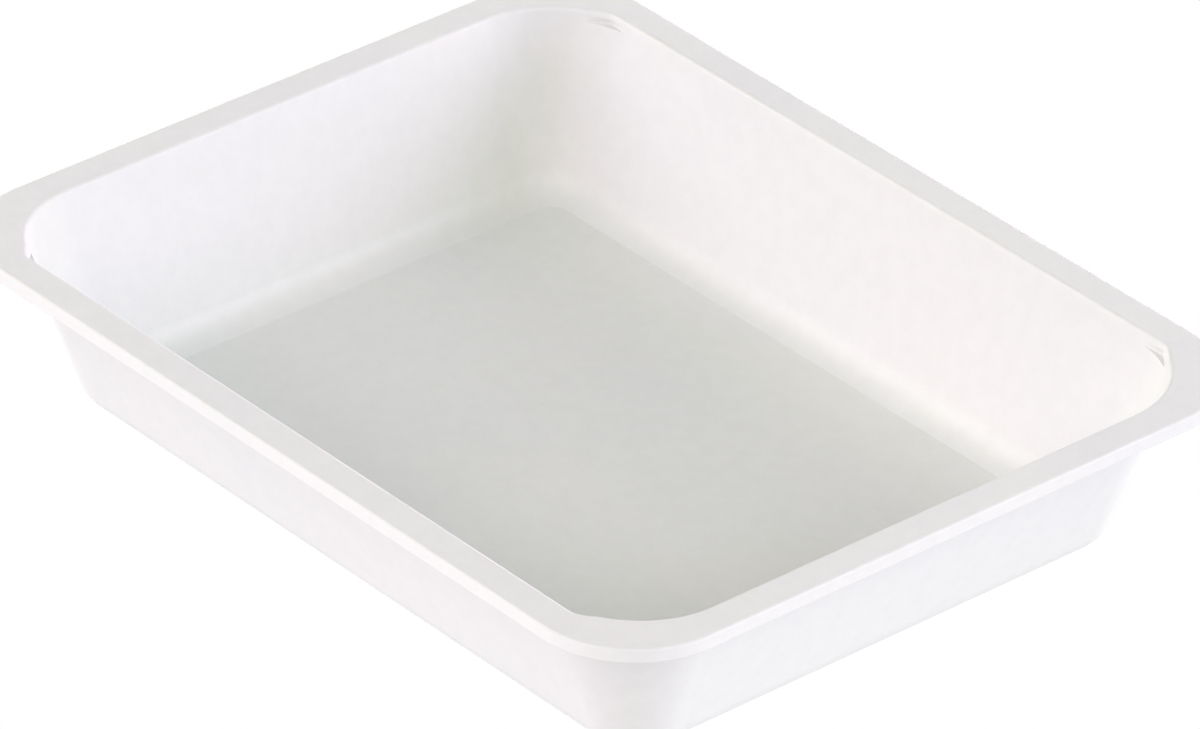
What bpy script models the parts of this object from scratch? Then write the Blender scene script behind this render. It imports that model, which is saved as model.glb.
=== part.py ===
"""Rectangular paint tray: one white moulding, modelled as its separate moulded features.

Frame: origin at the centre of the underside, +X along the long side, +Z up. Metres.
Every horizontal section of the tray is a rounded rectangle, given by its inset from the outer
edge of the lip and its height. The lip's sections share four corner centres, and so do the
walls' sections, so a corner radius is the one at the very edge less the inset. A section's step
widens it in the corner arcs beside the long walls: at 1 each long wall runs straight on past the
start of the arc, at 0 the arc is plain. The widening is the de-nesting step, and its floor is the
ledge that the tray above lands on. The solids are lofts through such sections.
"""

import math

import bmesh
import bpy
from mathutils import Vector

MM = 0.001

# Driving dimensions
LENGTH = 350.0 * MM
WIDTH = 276.0 * MM
HEIGHT = 65.5 * MM
WALL = 2.0 * MM
CORNER_RADIUS = 49.0 * MM
DRAFT = math.radians(19.2)

# Rim: level flange round the mouth, with a turned-down lip on its outer edge
RIM_WIDTH = 12.9 * MM
RIM_CORNER_RADIUS = 37.0 * MM
RIM_THICKNESS = 2.0 * MM
RIM_INNER_ROUND = 1.8 * MM
LIP_HEIGHT = 4.8 * MM
LIP_THICKNESS = 1.7 * MM
LIP_FLARE = 0.5 * MM
LIP_TOP_ROUND = 1.2 * MM
LIP_FOOT_ROUND = 0.5 * MM

# Pan: drafted walls, a cove round the foot and a flat floor that meets it at a crease
COVE_RADIUS = 14.2 * MM
CREASE_SLOPE = math.radians(20.0)

# De-nesting steps: recesses under the rim, in the corner arcs beside the long walls
STEP_DEPTH = 3.8 * MM
STEP_AT_RIM = 1.0
STEP_AT_LEDGE = 1.5
STEP_FAR_ANGLE = math.radians(60.0)
STEP_APEX_ANGLE = math.radians(72.0)
STEP_FLOOR_THICKNESS = 1.8 * MM
LEDGE_THICKNESS = 1.0 * MM
LEDGE_START_ANGLE = math.radians(63.0)
LEDGE_END_ANGLE = math.radians(78.0)

GAP = 0.3 * MM
SAME_PLACE = 0.001 * MM
BACK_GAP = 0.35 * MM

# Facets
CORNER_STEPS = 15
COVE_STEPS = 7
ROUND_STEPS = 3
LEDGE_STEPS = 5

TRAY_WHITE = (0.83, 0.83, 0.82, 1.0)
TRAY_ROUGHNESS = 0.34


def clear_scene():
    for scene_object in list(bpy.data.objects):
        bpy.data.objects.remove(scene_object, do_unlink=True)


def plastic(name):
    material = bpy.data.materials.new(name)
    material.use_nodes = True
    shader = material.node_tree.nodes["Principled BSDF"]
    shader.inputs["Base Color"].default_value = TRAY_WHITE
    shader.inputs["Roughness"].default_value = TRAY_ROUGHNESS
    shader.inputs["Metallic"].default_value = 0.0
    return material


def make_object(name, mesh_data, collection):
    bmesh.ops.recalc_face_normals(mesh_data, faces=mesh_data.faces)
    mesh = bpy.data.meshes.new(name)
    mesh_data.to_mesh(mesh)
    mesh_data.free()
    mesh.shade_smooth()
    mesh.set_sharp_from_angle(angle=math.radians(15.0))
    mesh.materials.append(plastic(name + "_plastic"))
    result = bpy.data.objects.new(name, mesh)
    collection.objects.link(result)
    return result


def arc_points(centre, radius, start, end, steps):
    """Points (inset, height) on a section arc; angle 0 faces inwards, 90 degrees faces up."""
    points = []
    for step in range(steps + 1):
        angle = start + (end - start) * step / steps
        points.append((centre[0] + radius * math.cos(angle), centre[1] + radius * math.sin(angle)))
    return points


def stepped(radius, step, angle):
    """Corner radius with its step: straight on from the long wall, then back to the arc."""
    apex = 1.0 / math.sin(STEP_APEX_ANGLE)
    share = (angle - STEP_FAR_ANGLE) / (STEP_APEX_ANGLE - STEP_FAR_ANGLE)
    reach = 1.0 / math.sin(angle) if share > 1.0 else 1.0 + (apex - 1.0) * max(share, 0.0)
    return radius * (1.0 + step * (reach - 1.0))


def edge_radius(inset):
    """Corner radius at the very edge: the rim turns its corners more tightly than the walls."""
    return RIM_CORNER_RADIUS if inset < RIM_WIDTH / 2 else CORNER_RADIUS


def corner_point(corner, radius, angle, quadrant):
    """Plan position on one corner arc: angle 0 is the end wall's side, 90 degrees the long wall's."""
    along = LENGTH / 2 - corner + radius * math.cos(angle)
    across = WIDTH / 2 - corner + radius * math.sin(angle)
    return quadrant[0] * along, quadrant[1] * across


def rounded_rectangle(inset, step):
    """Plan outline, counter-clockwise from the +X end wall."""
    corner = edge_radius(inset)
    radius = corner - inset
    outline = []
    for quadrant in ((1, 1), (-1, 1), (-1, -1), (1, -1)):
        angles = [math.pi / 2 * index / CORNER_STEPS for index in range(CORNER_STEPS + 1)]
        if quadrant[0] * quadrant[1] < 0:
            angles.reverse()
        for angle in angles:
            outline.append(corner_point(corner, stepped(radius, step, angle), angle, quadrant))
    return outline


def add_ring(mesh_data, inset, height, step, previous):
    """Vertices of one section, sharing those of the previous one that stand in the same place."""
    ring = []
    for index, (x, y) in enumerate(rounded_rectangle(inset, step)):
        place = Vector((x, y, height))
        if previous and (previous[index].co - place).length < SAME_PLACE:
            ring.append(previous[index])
        else:
            ring.append(mesh_data.verts.new(place))
    return ring


def loft(name, sections, collection, closed):
    """Solid through sections (inset, height, step): a closed ring, or capped at both ends."""
    mesh_data = bmesh.new()
    rings = []
    for inset, height, step in sections:
        rings.append(add_ring(mesh_data, inset, height, step, rings[-1] if rings else None))
    pairs = list(zip(rings, rings[1:]))
    if closed:
        pairs.append((rings[-1], rings[0]))
    else:
        mesh_data.faces.new(rings[0])
        mesh_data.faces.new(rings[-1])
    for lower, upper in pairs:
        for index in range(len(lower)):
            following = (index + 1) % len(lower)
            around = (lower[index], lower[following], upper[following], upper[index])
            corners = list(dict.fromkeys(around))
            if len(corners) > 2:
                mesh_data.faces.new(corners)
    return make_object(name, mesh_data, collection)


def with_step(points, step):
    return [(inset, height, step) for inset, height in points]


def wall_inset(height):
    """Inset of the pan's inner wall face, at a height on its straight, drafted part."""
    return RIM_WIDTH + (HEIGHT - height) * math.tan(DRAFT)


def cove_sections(radius, last_slope):
    """Sections round the foot of the wall, from the wall's draft down to last_slope."""
    centre_height = COVE_RADIUS + WALL
    cove_top = centre_height - COVE_RADIUS * math.sin(DRAFT)
    centre_inset = wall_inset(cove_top) + COVE_RADIUS * math.cos(DRAFT)
    start = math.pi + DRAFT
    end = math.pi * 3 / 2 - last_slope
    return arc_points((centre_inset, centre_height), radius, start, end, COVE_STEPS)


def make_pan(collection):
    """Floor, cove and walls as one watertight shell, open upwards, with the stepped recesses."""
    top = HEIGHT - RIM_THICKNESS - GAP
    recess_floor = HEIGHT - STEP_DEPTH - LEDGE_THICKNESS - GAP
    boss_foot = recess_floor - STEP_FLOOR_THICKNESS
    shift = WALL / math.cos(DRAFT)
    ledge = HEIGHT - STEP_DEPTH
    recess_top = (wall_inset(top), top)
    recess_ledge = (wall_inset(ledge), ledge)
    recess_foot = (wall_inset(recess_floor), recess_floor)
    boss_top = (wall_inset(top) - shift, top)
    boss_bottom = (wall_inset(boss_foot) - shift, boss_foot)
    inner = with_step([recess_top], STEP_AT_RIM) + with_step([recess_ledge, recess_foot], STEP_AT_LEDGE)
    inner += with_step([recess_foot] + cove_sections(COVE_RADIUS, CREASE_SLOPE), 0.0)
    outer = with_step([boss_top], STEP_AT_RIM) + with_step([boss_bottom], STEP_AT_LEDGE)
    outer += with_step([boss_bottom] + cove_sections(COVE_RADIUS + WALL, 0.0), 0.0)
    return loft("pan", list(reversed(outer)) + inner, collection, closed=False)


def make_rim_flange(collection):
    """Level ring round the mouth, with a rounded inner edge that follows the steps."""
    top = HEIGHT
    underside = HEIGHT - RIM_THICKNESS
    start = LIP_FLARE + LIP_THICKNESS + GAP
    round_centre = (RIM_WIDTH - RIM_INNER_ROUND, top - RIM_INNER_ROUND)
    inner_edge = arc_points(round_centre, RIM_INNER_ROUND, 0.0, math.pi / 2, ROUND_STEPS)
    profile = with_step([(start, underside)], 0.0)
    profile += with_step([(RIM_WIDTH, underside)] + inner_edge, STEP_AT_RIM)
    profile += with_step([(start, top)], 0.0)
    return loft("rim_flange", profile, collection, closed=True)


def make_rim_lip(collection):
    """Turned-down skirt along the rim's outer edge, flaring slightly towards its foot."""
    top = HEIGHT
    foot = HEIGHT - LIP_HEIGHT
    inner_top = LIP_FLARE + LIP_THICKNESS
    round_centre = (LIP_FLARE + LIP_TOP_ROUND, top - LIP_TOP_ROUND)
    top_edge = arc_points(round_centre, LIP_TOP_ROUND, math.pi / 2, math.pi, ROUND_STEPS)
    foot_centre = (LIP_FOOT_ROUND, foot + LIP_FOOT_ROUND)
    foot_edge = arc_points(foot_centre, LIP_FOOT_ROUND, math.pi, 3 * math.pi / 2, ROUND_STEPS)
    profile = [(inner_top, top)] + top_edge + foot_edge + [(LIP_THICKNESS, foot)]
    return loft("rim_lip", with_step(profile, 0.0), collection, closed=True)


def make_ledge(name, quadrant, collection):
    """Floor of one de-nesting step, between the corner arc and the step's back wall."""
    top = HEIGHT - STEP_DEPTH
    foot = top - LEDGE_THICKNESS
    front_top = CORNER_RADIUS - wall_inset(top)
    front_foot = CORNER_RADIUS - wall_inset(foot)
    mesh_data = bmesh.new()
    slices = []
    for step in range(LEDGE_STEPS + 1):
        angle = LEDGE_START_ANGLE + (LEDGE_END_ANGLE - LEDGE_START_ANGLE) * step / LEDGE_STEPS
        back_top = stepped(front_top, STEP_AT_LEDGE, angle) - BACK_GAP
        back_foot = stepped(front_foot, STEP_AT_LEDGE, angle) - BACK_GAP
        profile = [(front_top, top), (back_top, top), (back_foot, foot), (front_foot, foot)]
        ring = []
        for radius, height in profile:
            x, y = corner_point(CORNER_RADIUS, radius, angle, quadrant)
            ring.append(mesh_data.verts.new((x, y, height)))
        slices.append(ring)
    mesh_data.faces.new(slices[0])
    mesh_data.faces.new(slices[-1])
    for here, there in zip(slices, slices[1:]):
        for index in range(len(here)):
            following = (index + 1) % len(here)
            mesh_data.faces.new((here[index], here[following], there[following], there[index]))
    return make_object(name, mesh_data, collection)


def main():
    clear_scene()
    collection = bpy.data.collections.new("paint_roller_tray")
    bpy.context.scene.collection.children.link(collection)
    make_pan(collection)
    make_rim_flange(collection)
    make_rim_lip(collection)
    for end_name, end in (("left", -1), ("right", 1)):
        for side_name, side in (("front", -1), ("back", 1)):
            make_ledge(f"denest_ledge_{side_name}_{end_name}", (end, side), collection)


main()
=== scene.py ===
"""Looks of the white paint tray: one continuous satin plastic moulding on a white table.

The tray's horizontal sections are rounded rectangles, given by their inset from the outer edge
of the lip and their height. The lip's share four corner centres, and so do the walls', so a
corner radius is the one at the very edge less the inset. A section's step is how far each long
wall runs on straight past the start of its corner arcs: that makes the recesses under the rim
whose floors keep stacked trays apart. Metres.
"""

import math

import bmesh
import bpy
from mathutils import Matrix, Vector


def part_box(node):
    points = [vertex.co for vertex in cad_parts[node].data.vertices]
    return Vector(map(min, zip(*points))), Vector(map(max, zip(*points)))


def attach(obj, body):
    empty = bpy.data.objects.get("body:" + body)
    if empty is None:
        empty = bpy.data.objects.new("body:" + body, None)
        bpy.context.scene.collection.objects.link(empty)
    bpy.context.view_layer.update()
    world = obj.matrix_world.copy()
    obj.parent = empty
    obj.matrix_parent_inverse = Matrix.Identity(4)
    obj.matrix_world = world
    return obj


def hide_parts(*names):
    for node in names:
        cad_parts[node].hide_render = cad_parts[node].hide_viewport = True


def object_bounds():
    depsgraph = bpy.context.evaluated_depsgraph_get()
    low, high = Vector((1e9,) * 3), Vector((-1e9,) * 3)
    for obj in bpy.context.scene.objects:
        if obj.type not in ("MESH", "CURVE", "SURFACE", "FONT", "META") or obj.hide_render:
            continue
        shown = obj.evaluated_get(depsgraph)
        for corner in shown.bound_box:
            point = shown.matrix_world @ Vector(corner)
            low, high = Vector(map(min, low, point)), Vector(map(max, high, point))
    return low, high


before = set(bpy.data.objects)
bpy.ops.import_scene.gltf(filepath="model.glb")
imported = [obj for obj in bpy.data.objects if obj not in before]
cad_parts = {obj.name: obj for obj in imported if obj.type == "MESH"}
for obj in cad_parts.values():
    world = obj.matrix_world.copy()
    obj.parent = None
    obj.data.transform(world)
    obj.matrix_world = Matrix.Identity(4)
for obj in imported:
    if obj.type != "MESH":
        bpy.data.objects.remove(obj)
CAD_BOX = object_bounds()

MM = 0.001
BODY = "root"

# Sizes that the frame gives
LOW, HIGH = (Vector(corner) for corner in CAD_BOX)
LENGTH, WIDTH, HEIGHT = HIGH - LOW
FLANGE_LOW, FLANGE_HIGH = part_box("rim_flange")
LIP_LOW, LIP_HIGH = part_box("rim_lip")
RIM_THICKNESS = FLANGE_HIGH.z - FLANGE_LOW.z
LIP_FOOT = LIP_LOW.z

# Sizes shared with the CAD model; the cove radius here is only that of the rounded foot outside
CORNER_RADIUS = 49.0 * MM
WALL = 2.0 * MM
DRAFT = math.radians(19.2)
RIM_WIDTH = 12.9 * MM
RIM_CORNER_RADIUS = 37.0 * MM
COVE_RADIUS = 14.2 * MM
LIP_THICKNESS = 1.7 * MM
LIP_FLARE = 0.5 * MM
STEP_DEPTH = 3.8 * MM
STEP_FOOT = 6.9 * MM
STEP_AT_RIM = 1.0
STEP_AT_LEDGE = 1.5
STEP_FAR_ANGLE = math.radians(60.0)
STEP_APEX_ANGLE = math.radians(72.0)

# The inside cove: it leaves the wall and runs out towards the floor, which it meets at a crease
COVE_TOP = 12.4 * MM
COVE_WALL_PULL = 6.2 * MM
COVE_FLOOR_PULL = 8.7 * MM
CREASE_SLOPE = math.radians(16.0)

# Edge finish of the moulding
RIM_INNER_ROUND = 1.8 * MM
LIP_TOP_ROUND = 1.2 * MM
LIP_FOOT_ROUND = 0.5 * MM
LIP_ROOT_FILLET = 0.7 * MM
WALL_ROOT_FILLET = 1.0 * MM
CREASE_ROUND = 1.6 * MM
STEP_ROUND = 0.35 * MM
STEP_CORNER_ROUND = math.radians(2.6)
SHELF_EDGE = 0.16
SHELF_RISE = 0.02 * MM

# The plastic
COOL_WHITE = (0.755, 0.758, 0.757, 1.0)
WARM_WHITE = (0.772, 0.769, 0.760, 1.0)
GLOSS_RANGE = (0.43, 0.52)
WEAR_DULLING = 0.07
SCRATCH_DULLING = 0.12
FLECK_RANGE = (0.985, 1.01)
GRAIN_DEPTH = 0.02 * MM
GRAIN_STRENGTH = 0.18

# How fine each pattern in the plastic is, in cycles per metre, and where a noise counts as low or high
DRIFT_SCALE = 9.0
POLISH_SCALE = 26.0
RUB_SCALE = 70.0
FLECK_SCALE = 160.0
GRAIN_SCALE = 1400.0
NOISE_RANGE = (0.3, 0.7)
RUB_RANGE = (0.55, 0.75)

# Hairline scratches: turn and fineness across of each direction, fineness along, and where they lie
SCRATCH_DIRECTIONS = ((0.35, 900.0), (-0.9, 760.0))
SCRATCH_SCALE_ALONG = 14.0
SCRATCH_RANGE = (0.72, 0.78)
SCRATCH_PATCH_SCALE = 18.0
SCRATCH_PATCH_RANGE = (0.5, 0.62)

# Facets
CORNER_STEPS = 45
COVE_STEPS = 20
ROUND_STEPS = 6
CREASE_STEPS = 4
SHARP_ANGLE = math.radians(40.0)

# The camera: a long lens, aimed a little in front of and below the middle of the rim
SENSOR_WIDTH = 36.0
LENS = 339.8
VIEW_AZIMUTH = math.radians(49.19)
VIEW_ELEVATION = math.radians(31.71)
VIEW_ROLL = math.radians(-0.89)
VIEW_DISTANCE = 3.6705
AIM_RIGHT = 2.0 * MM
AIM_DOWN = 20.9 * MM
VIEW_REACH = 20.0

# Lights: name, turn from the camera (anticlockwise from above) and climb in degrees, power, tint
LIGHT_SOFTNESS = math.radians(38.0)
LIGHTS = (
    ("low back", 157.0, 8.0, 1.60, (0.85, 0.70, 1.00)),
    ("low left", 229.0, 8.0, 1.18, (0.95, 1.00, 0.76)),
    ("lower right", 85.0, 19.0, 1.92, (0.65, 0.57, 1.00)),
    ("lower right 2", 105.0, 19.0, 1.11, (1.00, 1.00, 0.44)),
    ("lower left", 295.0, 19.0, 0.69, (0.79, 0.73, 1.00)),
    ("mid right", 49.0, 32.0, 0.86, (0.88, 1.00, 0.78)),
    ("mid left", 265.0, 32.0, 1.03, (1.00, 0.97, 0.90)),
    ("mid left 2", 330.0, 32.0, 1.17, (1.00, 0.83, 0.85)),
    ("high left", 300.0, 60.0, 0.59, (0.81, 1.00, 0.91)),
)

# The table
TABLE_HALF_SIZE = 4.0
TABLE_GAP = 0.5 * MM
TABLE_GLOW = 1.0


def arc(centre, radius, start, end, steps=ROUND_STEPS):
    """Points (inset, height) on a section arc; angle 0 faces inwards, 90 degrees faces up."""
    points = []
    for step in range(steps + 1):
        angle = start + (end - start) * step / steps
        points.append((centre[0] + radius * math.cos(angle), centre[1] + radius * math.sin(angle)))
    return points


def step_reach(angle):
    """A stepped section's corner radius over its plain one: straight on, then back to the arc."""
    straight = 1.0 / math.sin(max(angle, STEP_FAR_ANGLE))
    slope = (1.0 / math.sin(STEP_APEX_ANGLE) - 1.0) / (STEP_APEX_ANGLE - STEP_FAR_ANGLE)
    closing = 1.0 + slope * (angle - STEP_FAR_ANGLE)
    # The two sides of the step meet in a small round
    reach = smaller(straight, closing, slope * STEP_CORNER_ROUND)
    return 1.0 if angle < STEP_FAR_ANGLE else max(reach, 1.0)


def smaller(first, second, blend):
    """The smaller of two values, with a smooth change from one to the other."""
    overlap = max(blend - abs(first - second), 0.0) / blend
    return min(first, second) - overlap * overlap * blend / 4


def edge_radius(inset):
    """Corner radius at the very edge: the rim turns its corners more tightly than the walls."""
    return RIM_CORNER_RADIUS if inset < RIM_WIDTH / 2 else CORNER_RADIUS


def corner_point(inset, step, angle, quadrant):
    """Plan position on one corner arc: angle 0 is the end wall's side, 90 degrees the long wall's."""
    corner = edge_radius(inset)
    radius = (corner - inset) * (1.0 + step * (step_reach(angle) - 1.0))
    along = LENGTH / 2 - corner + radius * math.cos(angle)
    across = WIDTH / 2 - corner + radius * math.sin(angle)
    return quadrant[0] * along, quadrant[1] * across


def rounded_rectangle(inset, step):
    """Plan outline, counter-clockwise from the +X end wall."""
    outline = []
    for quadrant in ((1, 1), (-1, 1), (-1, -1), (1, -1)):
        angles = [math.pi / 2 * index / CORNER_STEPS for index in range(CORNER_STEPS + 1)]
        if quadrant[0] * quadrant[1] < 0:
            angles.reverse()
        outline += [corner_point(inset, step, angle, quadrant) for angle in angles]
    return outline


def with_step(points, step):
    return [(inset, height, step) for inset, height in points]


def wall_inset(height):
    """Inset of the inner wall face at a height on its straight, drafted part."""
    return RIM_WIDTH + (HEIGHT - height) * math.tan(DRAFT)


def add_ring(mesh_data, inset, height, step):
    return [mesh_data.verts.new((x, y, height)) for x, y in rounded_rectangle(inset, step)]


def skin(mesh_data, rings):
    """Quads between neighbouring rings."""
    for lower, upper in zip(rings, rings[1:]):
        for index in range(len(lower)):
            following = (index + 1) % len(lower)
            mesh_data.faces.new((lower[index], lower[following], upper[following], upper[index]))


def finish_piece(name, mesh_data, material, nodes):
    """Mesh object with clean normals that rides on the tray and stands for its CAD nodes."""
    bmesh.ops.recalc_face_normals(mesh_data, faces=mesh_data.faces)
    mesh = bpy.data.meshes.new(name)
    mesh_data.to_mesh(mesh)
    mesh_data.free()
    mesh.shade_smooth()
    mesh.set_sharp_from_angle(angle=SHARP_ANGLE)
    mesh.materials.append(material)
    piece = bpy.data.objects.new(name, mesh)
    bpy.context.scene.collection.objects.link(piece)
    normals = piece.modifiers.new("flat faces stay flat", "WEIGHTED_NORMAL")
    normals.weight = 100
    normals.keep_sharp = True
    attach(piece, BODY)
    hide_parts(*nodes)


def make_pan(material):
    """Floor, cove and walls, up to the underside of the rim."""
    top = HEIGHT - RIM_THICKNESS
    shift = WALL / math.cos(DRAFT)
    cove_height = COVE_RADIUS + WALL
    cove_top = cove_height - COVE_RADIUS * math.sin(DRAFT)
    cove_inset = wall_inset(cove_top) + COVE_RADIUS * math.cos(DRAFT)
    cove = (cove_inset, cove_height)
    wall_angle = math.pi + DRAFT
    outer_foot = arc(cove, COVE_RADIUS + WALL, math.pi * 3 / 2, wall_angle, COVE_STEPS)
    # The fillet where the wall's outer face runs out into the underside of the rim
    fillet = WALL_ROOT_FILLET
    fillet_height = top - fillet
    touch_height = fillet_height + fillet * math.sin(DRAFT)
    fillet_inset = wall_inset(touch_height) - shift - fillet * math.cos(DRAFT)
    root = arc((fillet_inset, fillet_height), fillet, DRAFT, math.pi / 2)
    # Outside, the steps stand out of the wall under the rim; inside, they end in a level ledge
    boss_foot = HEIGHT - STEP_FOOT
    boss = level_change(boss_foot, -shift)
    ledge = level_change(HEIGHT - STEP_DEPTH, 0.0)
    ledge.reverse()
    # The cove ends at a crease, with a small round of its own, where the floor begins
    inner_cove = cove_curve()
    crease_inset, floor_height = inner_cove[-1]
    run = CREASE_ROUND * math.tan(CREASE_SLOPE / 2)
    before = crease_inset - run * math.cos(CREASE_SLOPE)
    inner_cove = [point for point in inner_cove if point[0] < before]
    crease_centre = (crease_inset + run, floor_height + CREASE_ROUND)
    crease = arc(crease_centre, CREASE_ROUND, math.pi * 3 / 2 - CREASE_SLOPE, math.pi * 3 / 2, CREASE_STEPS)
    sections = with_step(outer_foot, 0.0) + boss + with_step(root, STEP_AT_RIM)
    sections += with_step([(wall_inset(top), top)], STEP_AT_RIM) + ledge
    sections += with_step(inner_cove + crease, 0.0)
    mesh_data = bmesh.new()
    rings = [add_ring(mesh_data, *section) for section in sections]
    skin(mesh_data, rings)
    mesh_data.faces.new(rings[0])
    mesh_data.faces.new(rings[-1])
    ledges = [f"denest_ledge_{side}_{end}" for side in ("front", "back") for end in ("left", "right")]
    finish_piece("pan_moulded", mesh_data, material, ["pan"] + ledges)


def cove_curve():
    """Points (inset, height) down the inside cove: steep from the wall, then ever flatter."""
    start = (wall_inset(COVE_TOP), COVE_TOP)
    knee = (start[0] + COVE_WALL_PULL * math.sin(DRAFT), start[1] - COVE_WALL_PULL * math.cos(DRAFT))
    end = (
        knee[0] + COVE_FLOOR_PULL * math.cos(CREASE_SLOPE),
        knee[1] - COVE_FLOOR_PULL * math.sin(CREASE_SLOPE),
    )
    points = []
    for step in range(COVE_STEPS + 1):
        share = step / COVE_STEPS
        weights = ((1.0 - share) ** 2, 2.0 * share * (1.0 - share), share ** 2)
        corners = (start, knee, end)
        points.append([sum(w * corner[axis] for w, corner in zip(weights, corners)) for axis in (0, 1)])
    return points


def level_change(height, shift):
    """Sections, from below upwards, across a level shelf with a small round at each side."""
    levels = []
    for index in range(ROUND_STEPS + 1):
        angle = math.pi / 2 * index / ROUND_STEPS
        levels.append((STEP_ROUND * (math.sin(angle) - 1.0), SHELF_EDGE * (1.0 - math.cos(angle))))
    levels += [(SHELF_RISE - rise, 1.0 - share) for rise, share in reversed(levels)]
    sections = []
    for rise, share in levels:
        sections.append((wall_inset(height + rise) + shift, height + rise, STEP_AT_LEDGE * share))
    return sections


def make_ring(name, sections, material, node):
    """A closed band all round the tray."""
    mesh_data = bmesh.new()
    rings = [add_ring(mesh_data, *section) for section in sections]
    skin(mesh_data, rings + [rings[0]])
    finish_piece(name, mesh_data, material, [node])


def make_rim_flange(material):
    """Level ring whose inner edge rolls over into the wall."""
    underside = HEIGHT - RIM_THICKNESS
    outer = LIP_FLARE + LIP_THICKNESS
    radius = RIM_INNER_ROUND
    touch = wall_inset(HEIGHT - radius + radius * math.sin(DRAFT))
    round_centre = (touch - radius * math.cos(DRAFT), HEIGHT - radius)
    inner_edge = arc(round_centre, radius, DRAFT, math.pi / 2)
    sections = with_step([(outer, underside)], 0.0)
    sections += with_step([(wall_inset(underside), underside)] + inner_edge, STEP_AT_RIM)
    sections += with_step([(outer, HEIGHT)], 0.0)
    make_ring("rim_flange_moulded", sections, material, "rim_flange")


def make_rim_lip(material):
    """Turned-down skirt, flared a little, with a rounded top and foot."""
    underside = HEIGHT - RIM_THICKNESS
    inner = LIP_FLARE + LIP_THICKNESS
    top_centre = (LIP_FLARE + LIP_TOP_ROUND, HEIGHT - LIP_TOP_ROUND)
    top_edge = arc(top_centre, LIP_TOP_ROUND, math.pi / 2, math.pi)
    foot_round = LIP_FOOT_ROUND
    foot_outer = arc((foot_round, LIP_FOOT + foot_round), foot_round, math.pi, math.pi * 3 / 2)
    foot_inner_centre = (LIP_THICKNESS - foot_round, LIP_FOOT + foot_round)
    foot_inner = arc(foot_inner_centre, foot_round, -math.pi / 2, 0.0)
    fillet = LIP_ROOT_FILLET
    root = arc((inner + fillet, underside - fillet), fillet, math.pi, math.pi / 2)
    profile = [(inner, HEIGHT)] + top_edge + foot_outer + foot_inner + root + [(inner, underside)]
    make_ring("rim_lip_moulded", with_step(profile, 0.0), material, "rim_lip")


def add_noise(nodes, links, place, scale, detail, roughness):
    """Noise texture; detail and roughness are its layers and how strongly the finer ones show."""
    noise = nodes.new("ShaderNodeTexNoise")
    noise.inputs["Scale"].default_value = scale
    noise.inputs["Detail"].default_value = detail
    noise.inputs["Roughness"].default_value = roughness
    links.new(place, noise.inputs["Vector"])
    return noise


def add_range(nodes, links, value, source, target):
    """The value mapped from one range to another, and kept inside it."""
    spread = nodes.new("ShaderNodeMapRange")
    spread.interpolation_type = "SMOOTHSTEP"
    for name, number in zip(("From Min", "From Max", "To Min", "To Max"), source + target):
        spread.inputs[name].default_value = number
    links.new(value, spread.inputs["Value"])
    return spread.outputs["Result"]


def add_math(nodes, links, operation, first, second):
    """Math node of two values, each a socket or a number."""
    node = nodes.new("ShaderNodeMath")
    node.operation = operation
    for socket, value in zip(node.inputs, (first, second)):
        if isinstance(value, (int, float)):
            socket.default_value = value
        else:
            links.new(value, socket)
    return node.outputs["Value"]


def plastic_tone(nodes, links, place):
    """Colour: the resin drifts a little over the moulding, and fine flecks keep it from being flat."""
    drift = add_noise(nodes, links, place, DRIFT_SCALE, 3.0, 0.5)
    mottle = add_noise(nodes, links, place, FLECK_SCALE, 4.0, 0.6)
    warm = add_range(nodes, links, drift.outputs["Fac"], NOISE_RANGE, (0.0, 1.0))
    tone = nodes.new("ShaderNodeMix")
    tone.data_type = "RGBA"
    tone.inputs["A"].default_value = COOL_WHITE
    tone.inputs["B"].default_value = WARM_WHITE
    links.new(warm, tone.inputs["Factor"])
    fleck = add_range(nodes, links, mottle.outputs["Fac"], NOISE_RANGE, FLECK_RANGE)
    flecked = nodes.new("ShaderNodeMix")
    flecked.data_type = "RGBA"
    flecked.blend_type = "MULTIPLY"
    flecked.inputs["Factor"].default_value = 1.0
    links.new(tone.outputs["Result"], flecked.inputs["A"])
    links.new(fleck, flecked.inputs["B"])
    return flecked.outputs["Result"]


def plastic_gloss(nodes, links, place, hairlines):
    """Roughness: uneven where the mould was polished, duller where hands and rollers have rubbed."""
    polish = add_noise(nodes, links, place, POLISH_SCALE, 4.0, 0.55)
    rub = add_noise(nodes, links, place, RUB_SCALE, 5.0, 0.65)
    gloss = add_range(nodes, links, polish.outputs["Fac"], NOISE_RANGE, GLOSS_RANGE)
    worn = add_range(nodes, links, rub.outputs["Fac"], RUB_RANGE, (0.0, WEAR_DULLING))
    dulled = add_math(nodes, links, "ADD", gloss, worn)
    scratched = add_math(nodes, links, "MULTIPLY", hairlines, SCRATCH_DULLING)
    return add_math(nodes, links, "ADD", dulled, scratched)


def plastic_relief(nodes, links, place, hairlines):
    """Normal: mould grain, with the hairlines cut into it."""
    grain = add_noise(nodes, links, place, GRAIN_SCALE, 2.0, 0.5)
    bump = nodes.new("ShaderNodeBump")
    bump.inputs["Strength"].default_value = GRAIN_STRENGTH
    bump.inputs["Distance"].default_value = GRAIN_DEPTH
    links.new(add_math(nodes, links, "SUBTRACT", grain.outputs["Fac"], hairlines), bump.inputs["Height"])
    return bump.outputs["Normal"]


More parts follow.
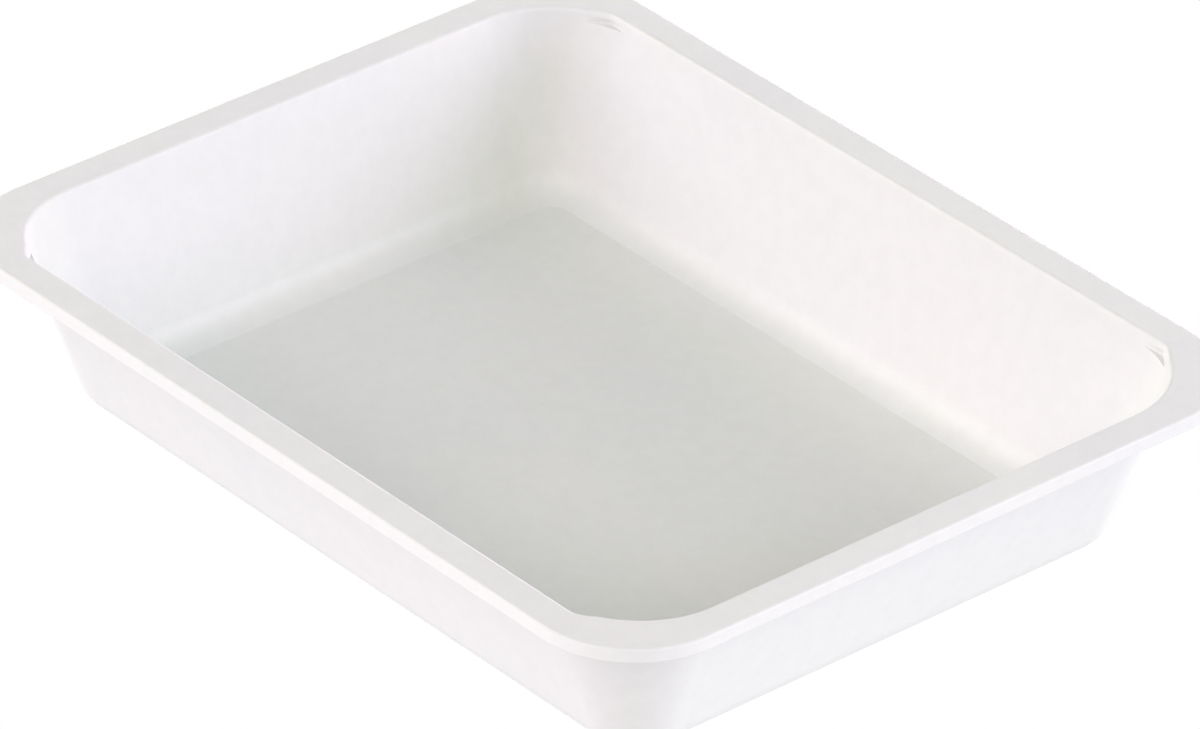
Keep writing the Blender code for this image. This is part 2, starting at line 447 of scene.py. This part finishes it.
def scratches(nodes, links, place):
    """Sparse hairlines in two directions: 1 on a line, 0 elsewhere."""
    lines = []
    for turn, fineness in SCRATCH_DIRECTIONS:
        mapping = nodes.new("ShaderNodeMapping")
        mapping.inputs["Rotation"].default_value = (0.0, 0.0, turn)
        mapping.inputs["Scale"].default_value = (SCRATCH_SCALE_ALONG, fineness, fineness)
        links.new(place, mapping.inputs["Vector"])
        noise = add_noise(nodes, links, mapping.outputs["Vector"], 1.0, 1.0, 0.4)
        lines.append(add_range(nodes, links, noise.outputs["Fac"], SCRATCH_RANGE, (0.0, 1.0)))
    patches = add_noise(nodes, links, place, SCRATCH_PATCH_SCALE, 2.0, 0.5)
    where = add_range(nodes, links, patches.outputs["Fac"], SCRATCH_PATCH_RANGE, (0.0, 1.0))
    both = add_math(nodes, links, "MAXIMUM", lines[0], lines[1])
    return add_math(nodes, links, "MULTIPLY", both, where)


def white_plastic():
    """Satin white moulding: faint tone drift, mould grain and a little handling wear."""
    material = bpy.data.materials.new("satin white plastic")
    material.use_nodes = True
    nodes = material.node_tree.nodes
    links = material.node_tree.links
    shader = nodes["Principled BSDF"]
    place = nodes.new("ShaderNodeTexCoord").outputs["Object"]
    hairlines = scratches(nodes, links, place)
    links.new(plastic_tone(nodes, links, place), shader.inputs["Base Color"])
    links.new(plastic_gloss(nodes, links, place, hairlines), shader.inputs["Roughness"])
    links.new(plastic_relief(nodes, links, place, hairlines), shader.inputs["Normal"])
    return material


def make_camera():
    forward = -Vector((
        math.sin(VIEW_AZIMUTH) * math.cos(VIEW_ELEVATION),
        -math.cos(VIEW_AZIMUTH) * math.cos(VIEW_ELEVATION),
        math.sin(VIEW_ELEVATION),
    ))
    level_right = Vector((math.cos(VIEW_AZIMUTH), math.sin(VIEW_AZIMUTH), 0.0))
    level_down = forward.cross(level_right)
    right = level_right * math.cos(VIEW_ROLL) + level_down * math.sin(VIEW_ROLL)
    down = level_down * math.cos(VIEW_ROLL) - level_right * math.sin(VIEW_ROLL)
    aim = Vector((0.0, 0.0, HEIGHT)) + right * AIM_RIGHT + down * AIM_DOWN
    camera_data = bpy.data.cameras.new("camera")
    camera_data.sensor_width = SENSOR_WIDTH
    camera_data.lens = LENS
    camera_data.clip_end = VIEW_REACH
    camera = bpy.data.objects.new("camera", camera_data)
    bpy.context.scene.collection.objects.link(camera)
    axes = Matrix((right, -down, -forward)).transposed().to_4x4()
    camera.matrix_world = Matrix.Translation(aim - forward * VIEW_DISTANCE) @ axes
    bpy.context.scene.camera = camera


def make_table():
    """A glowing white table, so that nothing around the tray is greyer than white."""
    mesh_data = bmesh.new()
    bmesh.ops.create_grid(mesh_data, x_segments=1, y_segments=1, size=TABLE_HALF_SIZE)
    mesh = bpy.data.meshes.new("table")
    mesh_data.to_mesh(mesh)
    mesh_data.free()
    table = bpy.data.objects.new("table", mesh)
    table.location.z = -TABLE_GAP
    bpy.context.scene.collection.objects.link(table)
    material = bpy.data.materials.new("white table")
    material.use_nodes = True
    shader = material.node_tree.nodes["Principled BSDF"]
    shader.inputs["Base Color"].default_value = (0.0, 0.0, 0.0, 1.0)
    shader.inputs["Roughness"].default_value = 1.0
    shader.inputs["Specular IOR Level"].default_value = 0.0
    shader.inputs["Emission Color"].default_value = (1.0, 1.0, 1.0, 1.0)
    shader.inputs["Emission Strength"].default_value = TABLE_GLOW
    mesh.materials.append(material)


def make_lights():
    """Soft boxes far off: each is named by its direction from the tray and has its own tint."""
    for name, turn, climb, strength, tint in LIGHTS:
        bearing = VIEW_AZIMUTH - math.pi / 2 + math.radians(turn)
        height = math.radians(climb)
        towards = Vector((
            math.cos(bearing) * math.cos(height),
            math.sin(bearing) * math.cos(height),
            math.sin(height),
        ))
        data = bpy.data.lights.new(name, "SUN")
        data.energy = strength
        data.color = tint
        data.angle = LIGHT_SOFTNESS
        light = bpy.data.objects.new(name, data)
        light.rotation_euler = towards.to_track_quat("Z", "Y").to_euler()
        bpy.context.scene.collection.objects.link(light)


plastic = white_plastic()
make_pan(plastic)
make_rim_flange(plastic)
make_rim_lip(plastic)
make_camera()
make_table()
make_lights()
bpy.context.scene.view_settings.view_transform = "Standard"
